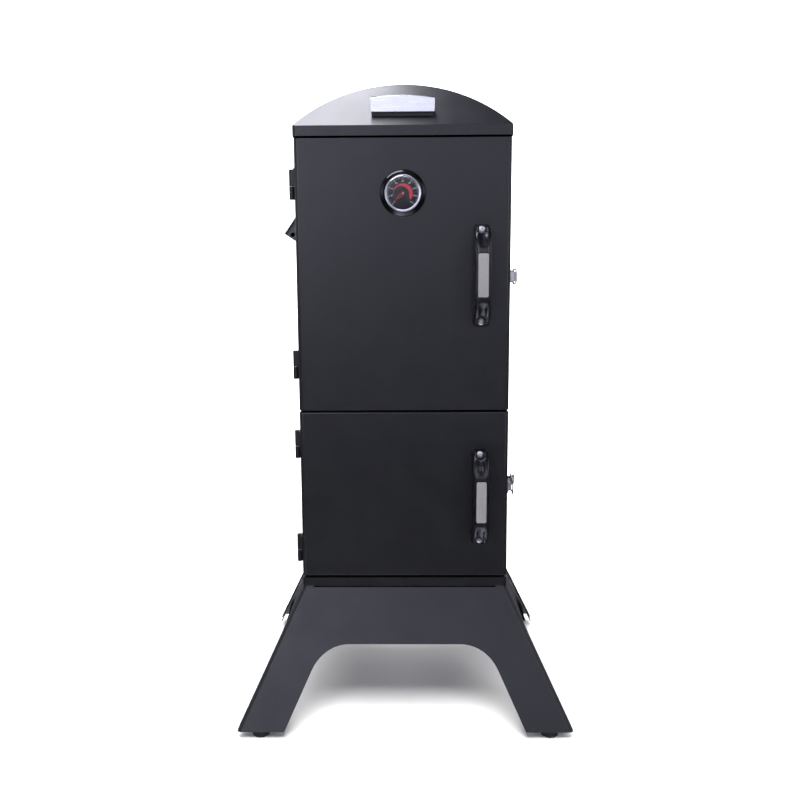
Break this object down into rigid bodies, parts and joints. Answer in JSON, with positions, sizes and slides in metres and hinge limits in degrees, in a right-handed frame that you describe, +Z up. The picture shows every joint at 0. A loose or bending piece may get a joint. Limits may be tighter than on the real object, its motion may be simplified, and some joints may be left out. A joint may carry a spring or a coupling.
{
  "type": "electric cabinet smoker",
  "caption": "Tall upright smoker cabinet with stacked side-hinged doors, arched hood, round thermometer, bar handles, draw latches, inner racks and a flared arched base on feet.",
  "frame": {"origin": "on the ground under the middle of the base", "axes": "+X to the right seen from the front, +Y to the back, +Z up; the doors face -Y"},
  "size_m": [0.67, 0.582, 1.2975],
  "materials": {
    "satin_black_sheet": "satin fine-texture powder coat",
    "black_hardware": "satin black",
    "silver_plate": "satin, blank",
    "galvanised_sheet": "galvanised",
    "bright_wire": "polished wire",
    "black_grip": "satin black",
    "black_rubber": "matt black",
    "gasket_rope": "woven glass-fibre rope",
    "chrome_trim": "polished",
    "gauge_face": null,
    "needle_red": "red",
    "black_enamel": "gloss porcelain enamel",
    "bare_steel": "plain",
    "element_sheath": "heat-tinted sheath",
    "grey_sheet": "satin grey",
    "black_plastic": "moulded black"
  },
  "bodies": {
    "cabinet": {"front_skirt": "satin_black_sheet", "rear_skirt": "satin_black_sheet", "left_skirt": "satin_black_sheet", "right_skirt": "satin_black_sheet", "foot_front_left": "black_rubber", "foot_front_right": "black_rubber", "foot_rear_left": "black_rubber", "foot_rear_right": "black_rubber", "floor_pan": "satin_black_sheet", "left_wall": "satin_black_sheet", "right_wall": "satin_black_sheet", "back_wall": "satin_black_sheet", "centre_rail": "black_hardware", "ceiling_panel": "black_hardware", "top_hood": "satin_black_sheet", "badge_base": "black_hardware", "badge_plate": "silver_plate", "left_rack_rail": "galvanised_sheet", "right_rack_rail": "galvanised_sheet", "rack_1": "bright_wire", "rack_2": "bright_wire", "rack_3": "bright_wire", "rack_4": "bright_wire", "water_pan": "black_enamel", "chip_tray": "bare_steel", "heating_element": "element_sheath", "vent_frame": "black_hardware", "control_box": "satin_black_sheet", "power_inlet": "black_plastic", "upper_latch_base": "black_hardware", "lower_latch_base": "black_hardware", "upper_body_leaf_1": "black_hardware", "upper_body_leaf_2": "black_hardware", "lower_body_leaf_1": "black_hardware", "lower_body_leaf_2": "black_hardware"},
    "upper_door": {"upper_door_pan": "satin_black_sheet", "upper_door_liner": "galvanised_sheet", "upper_door_gasket": "gasket_rope", "upper_handle": "black_grip", "upper_door_leaf_1": "black_hardware", "upper_door_leaf_2": "black_hardware", "upper_keeper": "chrome_trim", "gauge_bezel": "black_hardware", "gauge_case": "chrome_trim", "gauge_dial": "gauge_face"},
    "lower_door": {"lower_door_pan": "satin_black_sheet", "lower_door_liner": "galvanised_sheet", "lower_door_gasket": "gasket_rope", "lower_handle": "black_grip", "lower_door_leaf_1": "black_hardware", "lower_door_leaf_2": "black_hardware", "lower_keeper": "chrome_trim"},
    "gauge_needle": {"gauge_needle": "needle_red"},
    "upper_latch_lever": {"upper_latch_lever": "chrome_trim"},
    "upper_latch_bail": {"upper_latch_bail": "chrome_trim"},
    "lower_latch_lever": {"lower_latch_lever": "chrome_trim"},
    "lower_latch_bail": {"lower_latch_bail": "chrome_trim"},
    "vent_flap": {"vent_flap": "grey_sheet"},
    "grease_tray": {"grease_tray": "bare_steel"},
    "thermostat_knob": {"thermostat_knob": "black_plastic"}
  },
  "joints": [
    {"name": "upper_door_hinge", "type": "hinge", "parent": "cabinet", "child": "upper_door", "pos_m": [-0.218, -0.165, 0.9125], "axis": [0, 0, -1], "range_deg": [0, 170]},
    {"name": "lower_door_hinge", "type": "hinge", "parent": "cabinet", "child": "lower_door", "pos_m": [-0.218, -0.165, 0.4715], "axis": [0, 0, -1], "range_deg": [0, 170]},
    {"name": "gauge_needle_turn", "type": "hinge", "parent": "upper_door", "child": "gauge_needle", "pos_m": [0, -0.1988, 1.07], "axis": [0, 1, 0], "range_deg": [-5, 250]},
    {"name": "vent_flap_tilt", "type": "hinge", "parent": "cabinet", "child": "vent_flap", "pos_m": [-0.2145, 0, 1.0575], "axis": [0, 1, 0], "range_deg": [-35, 35]},
    {"name": "grease_tray_slide", "type": "slide", "parent": "cabinet", "child": "grease_tray", "axis": [0, 1, 0], "range_m": [0, 0.22]},
    {"name": "thermostat_knob_turn", "type": "hinge", "parent": "cabinet", "child": "thermostat_knob", "pos_m": [-0.032, 0.237, 0.3795], "axis": [0, -1, 0], "range_deg": [0, 270]},
    {"name": "upper_latch_lever_turn", "type": "hinge", "parent": "cabinet", "child": "upper_latch_lever", "pos_m": [0.218, -0.137, 0.9125], "axis": [0, 0, -1], "range_deg": [-12, 95]},
    {"name": "upper_latch_bail_turn", "type": "hinge", "parent": "upper_latch_lever", "child": "upper_latch_bail", "pos_m": [0.22343, -0.12589, 0.9125], "axis": [0, 0, 1], "range_deg": [-18, 132]},
    {"name": "lower_latch_lever_turn", "type": "hinge", "parent": "cabinet", "child": "lower_latch_lever", "pos_m": [0.218, -0.137, 0.4875], "axis": [0, 0, -1], "range_deg": [-12, 95]},
    {"name": "lower_latch_bail_turn", "type": "hinge", "parent": "lower_latch_lever", "child": "lower_latch_bail", "pos_m": [0.22343, -0.12589, 0.4875], "axis": [0, 0, 1], "range_deg": [-18, 132]}
  ],
  "couplings": [
    {"joint": "upper_latch_bail_turn", "follows": "upper_latch_lever_turn", "ratio": 1.35},
    {"joint": "lower_latch_bail_turn", "follows": "lower_latch_lever_turn", "ratio": 1.35}
  ]
}
